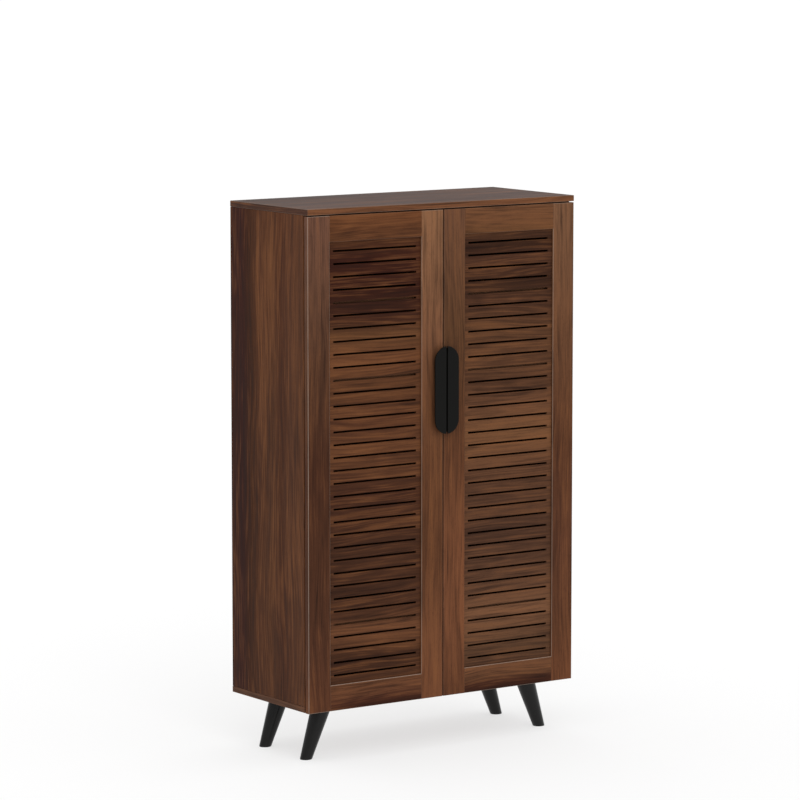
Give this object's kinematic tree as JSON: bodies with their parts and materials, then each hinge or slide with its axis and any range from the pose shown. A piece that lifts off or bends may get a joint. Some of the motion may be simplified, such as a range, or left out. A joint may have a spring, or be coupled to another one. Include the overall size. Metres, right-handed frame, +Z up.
{
  "type": "shoe cabinet",
  "caption": "Tall shoe cabinet on splayed tapered legs, with shelves behind two hinged doors whose recessed panels are slotted for air, and a half-round pull on each door.",
  "frame": {"origin": "on the floor, under the middle of the whole object with its handles", "axes": "+Z up, front faces -Y, +X to the right when facing the front"},
  "size_m": [0.8, 0.361, 1.36],
  "materials": {
    "walnut_board": "walnut melamine, satin, fine printed pore",
    "back_board": "hardboard with a walnut print, matt",
    "door_frame": "walnut melamine, satin, straight grain",
    "louvre_panel": "walnut melamine, satin, grain across",
    "handle_black": "matt black powder coat",
    "screw_zinc": "bright zinc plate",
    "hinge_nickel": "nickel plate, satin",
    "leg_black": "beech under satin black lacquer",
    "leg_plate_steel": "black powder-coated steel"
  },
  "bodies": {
    "case": {"top_panel": "walnut_board", "bottom_panel": "walnut_board", "left_side": "walnut_board", "right_side": "walnut_board", "back_panel": "back_board", "shelf_1": "walnut_board", "shelf_2": "walnut_board", "shelf_3": "walnut_board", "shelf_4": "walnut_board", "shelf_5": "walnut_board", "left_hinge_arm_1": "hinge_nickel", "left_hinge_plate_1": "hinge_nickel", "left_hinge_arm_2": "hinge_nickel", "left_hinge_plate_2": "hinge_nickel", "left_hinge_arm_3": "hinge_nickel", "left_hinge_plate_3": "hinge_nickel", "right_hinge_arm_1": "hinge_nickel", "right_hinge_plate_1": "hinge_nickel", "right_hinge_arm_2": "hinge_nickel", "right_hinge_plate_2": "hinge_nickel", "right_hinge_arm_3": "hinge_nickel", "right_hinge_plate_3": "hinge_nickel", "left_front_leg": "leg_black", "left_front_leg_plate": "leg_plate_steel", "right_front_leg": "leg_black", "right_front_leg_plate": "leg_plate_steel", "left_back_leg": "leg_black", "left_back_leg_plate": "leg_plate_steel", "right_back_leg": "leg_black", "right_back_leg_plate": "leg_plate_steel"},
    "left_door": {"left_door_hinge_stile": "door_frame", "left_door_meeting_stile": "door_frame", "left_door_top_rail": "door_frame", "left_door_bottom_rail": "door_frame", "left_door_louvre_panel": "louvre_panel", "left_handle": "handle_black", "left_handle_screw_1": "screw_zinc", "left_handle_screw_2": "screw_zinc", "left_hinge_cup_1": "hinge_nickel", "left_hinge_pin_1": "screw_zinc", "left_hinge_cup_2": "hinge_nickel", "left_hinge_pin_2": "screw_zinc", "left_hinge_cup_3": "hinge_nickel", "left_hinge_pin_3": "screw_zinc"},
    "right_door": {"right_door_hinge_stile": "door_frame", "right_door_meeting_stile": "door_frame", "right_door_top_rail": "door_frame", "right_door_bottom_rail": "door_frame", "right_door_louvre_panel": "louvre_panel", "right_handle": "handle_black", "right_handle_screw_1": "screw_zinc", "right_handle_screw_2": "screw_zinc", "right_hinge_cup_1": "hinge_nickel", "right_hinge_pin_1": "screw_zinc", "right_hinge_cup_2": "hinge_nickel", "right_hinge_pin_2": "screw_zinc", "right_hinge_cup_3": "hinge_nickel", "right_hinge_pin_3": "screw_zinc"}
  },
  "joints": [
    {"name": "left_door_hinge", "type": "hinge", "parent": "case", "child": "left_door", "pos_m": [-0.393, -0.1565, 0.7385], "axis": [0, 0, -1], "range_deg": [0, 95]},
    {"name": "right_door_hinge", "type": "hinge", "parent": "case", "child": "right_door", "pos_m": [0.393, -0.1565, 0.7385], "axis": [0, 0, 1], "range_deg": [0, 95]}
  ]
}
